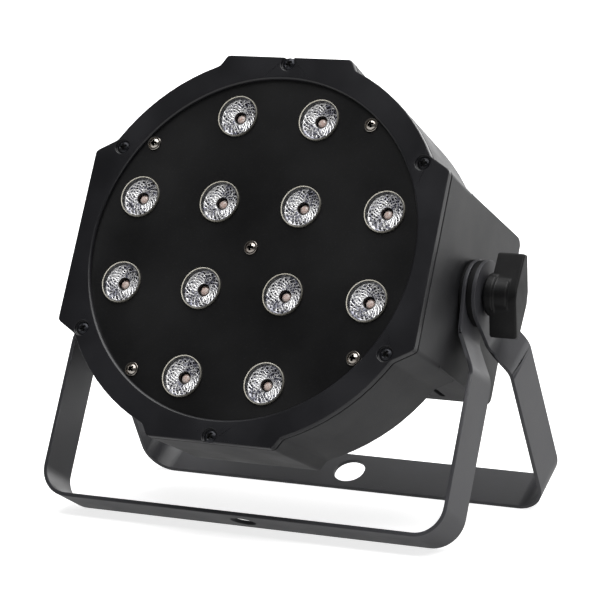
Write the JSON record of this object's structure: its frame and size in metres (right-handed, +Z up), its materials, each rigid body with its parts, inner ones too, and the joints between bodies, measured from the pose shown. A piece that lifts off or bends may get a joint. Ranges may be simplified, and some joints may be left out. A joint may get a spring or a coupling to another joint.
{
  "type": "par can light",
  "caption": "Flat LED par can light with a round lens panel in a shallow black housing, held by two nested U yokes that open into a floor stand.",
  "frame": {"origin": "on the floor, under the middle of the object's box, with the yokes open as a stand", "axes": "+X to the light's left as seen from behind it, along the pivot axis; +Y from the lens panel towards the connectors; +Z up"},
  "size_m": [0.246, 0.1656, 0.2282],
  "materials": {
    "powder_coat_yoke": "satin black powder coat with fine orange peel",
    "black_rubber": "matt",
    "zinc_steel": "bright zinc plate",
    "knob_plastic": "fine spark-eroded texture",
    "brass": "turned",
    "housing_black": "fine moulded texture",
    "bezel_black": "fine moulded texture",
    "panel_black": "satin black powder coat",
    "black_screw": "black oxide",
    "nickel_screw": "bright nickel plate",
    "lens_acrylic": "clear acrylic with a beaded face",
    "holder_black": "moulded",
    "led_ceramic": "phosphor dome on a white package",
    "board_white": "white solder mask on an aluminium board",
    "sink_aluminium": "extruded",
    "board_green": "green solder mask",
    "power_parts": "varnished",
    "window_red": "smoked red acrylic",
    "button_grey": "moulded",
    "connector_black": "moulded",
    "pin_silver": "bright nickel plate",
    "fuse_glass": "glass tube",
    "eye_steel": "zinc plate"
  },
  "bodies": {
    "stand": {"front_yoke": "powder_coat_yoke", "inner_washers": "black_rubber"},
    "rear_yoke": {"rear_yoke": "powder_coat_yoke", "outer_washers": "black_rubber"},
    "clamp_left": {"clamp_washer_left": "black_screw"},
    "clamp_right": {"clamp_washer_right": "black_screw"},
    "knob_left": {"knob_left": "knob_plastic", "stud_left": "zinc_steel"},
    "knob_right": {"knob_right": "knob_plastic", "stud_right": "zinc_steel"},
    "fan": {"fan_rotor": "holder_black"},
    "menu_button": {"menu_button": "button_grey"},
    "down_button": {"down_button": "button_grey"},
    "up_button": {"up_button": "button_grey"},
    "enter_button": {"enter_button": "button_grey"},
    "latch": {"dmx_out_latch": "pin_silver"},
    "fuse_cap": {"fuse_cap": "connector_black"},
    "head": {"pivot_inserts": "brass", "main_housing": "housing_black", "front_bezel": "bezel_black", "front_panel": "panel_black", "bezel_screws": "black_screw", "panel_screws": "nickel_screw", "panel_standoffs": "brass", "lens_01": "lens_acrylic", "lens_02": "lens_acrylic", "lens_03": "lens_acrylic", "lens_04": "lens_acrylic", "lens_05": "lens_acrylic", "lens_06": "lens_acrylic", "lens_07": "lens_acrylic", "lens_08": "lens_acrylic", "lens_09": "lens_acrylic", "lens_10": "lens_acrylic", "lens_11": "lens_acrylic", "lens_12": "lens_acrylic", "lens_holders": "holder_black", "led_emitters": "led_ceramic", "led_board": "board_white", "heat_sink": "sink_aluminium", "sink_screws": "zinc_steel", "fan_frame": "holder_black", "power_board": "board_green", "power_parts": "power_parts", "rear_panel": "panel_black", "rear_panel_screws": "black_screw", "display_window": "window_red", "display_module": "holder_black", "control_board": "board_green", "dmx_in_shell": "connector_black", "dmx_in_pins": "brass", "dmx_out_shell": "connector_black", "mains_inlet": "connector_black", "inlet_pins": "pin_silver", "mains_outlet": "connector_black", "fuse_holder": "connector_black", "fuse_link": "fuse_glass", "safety_eye": "eye_steel"}
  },
  "joints": [
    {"name": "rear_yoke_swing", "type": "hinge", "parent": "stand", "child": "rear_yoke", "pos_m": [0, 0.00637, 0.1174], "axis": [1, 0, 0], "range_deg": [-56, 124]},
    {"name": "head_tilt", "type": "hinge", "parent": "stand", "child": "head", "pos_m": [0, 0.00637, 0.1174], "axis": [1, 0, 0], "range_deg": [-64, 115]},
    {"name": "clamp_left_slide", "type": "slide", "parent": "head", "child": "clamp_left", "axis": [-1, 0, 0], "range_m": [0, 0.0025]},
    {"name": "knob_left_turn", "type": "hinge", "parent": "clamp_left", "child": "knob_left", "pos_m": [-0.115, 0.00637, 0.1174], "axis": [-1, 0, 0], "range_deg": [0, 720]},
    {"name": "clamp_right_slide", "type": "slide", "parent": "head", "child": "clamp_right", "axis": [1, 0, 0], "range_m": [0, 0.0025]},
    {"name": "knob_right_turn", "type": "hinge", "parent": "clamp_right", "child": "knob_right", "pos_m": [0.115, 0.00637, 0.1174], "axis": [1, 0, 0], "range_deg": [0, 720]},
    {"name": "fan_spin", "type": "hinge", "parent": "head", "child": "fan", "pos_m": [0, 0.00637, 0.1174], "axis": [0, 0.9011, -0.4337], "continuous": true},
    {"name": "menu_button_press", "type": "slide", "parent": "head", "child": "menu_button", "axis": [0, -0.9011, 0.4337], "range_m": [0, 0.0006], "stiffness_N_per_m": 300, "springref_m": -0.0005},
    {"name": "down_button_press", "type": "slide", "parent": "head", "child": "down_button", "axis": [0, -0.9011, 0.4337], "range_m": [0, 0.0006], "stiffness_N_per_m": 300, "springref_m": -0.0005},
    {"name": "up_button_press", "type": "slide", "parent": "head", "child": "up_button", "axis": [0, -0.9011, 0.4337], "range_m": [0, 0.0006], "stiffness_N_per_m": 300, "springref_m": -0.0005},
    {"name": "enter_button_press", "type": "slide", "parent": "head", "child": "enter_button", "axis": [0, -0.9011, 0.4337], "range_m": [0, 0.0006], "stiffness_N_per_m": 300, "springref_m": -0.0005},
    {"name": "latch_press", "type": "slide", "parent": "head", "child": "latch", "axis": [0, -0.9011, 0.4337], "range_m": [0, 0.0015], "stiffness_N_per_m": 300, "springref_m": -0.001},
    {"name": "fuse_cap_turn", "type": "hinge", "parent": "head", "child": "fuse_cap", "pos_m": [0.064, 0.05769, 0.11379], "axis": [0, 0.9011, -0.4337], "range_deg": [0, 90]}
  ],
  "couplings": [
    {"joint": "knob_left_turn", "follows": "clamp_left_slide", "rad_per_m": 5026.5},
    {"joint": "knob_right_turn", "follows": "clamp_right_slide", "rad_per_m": 5026.5}
  ]
}
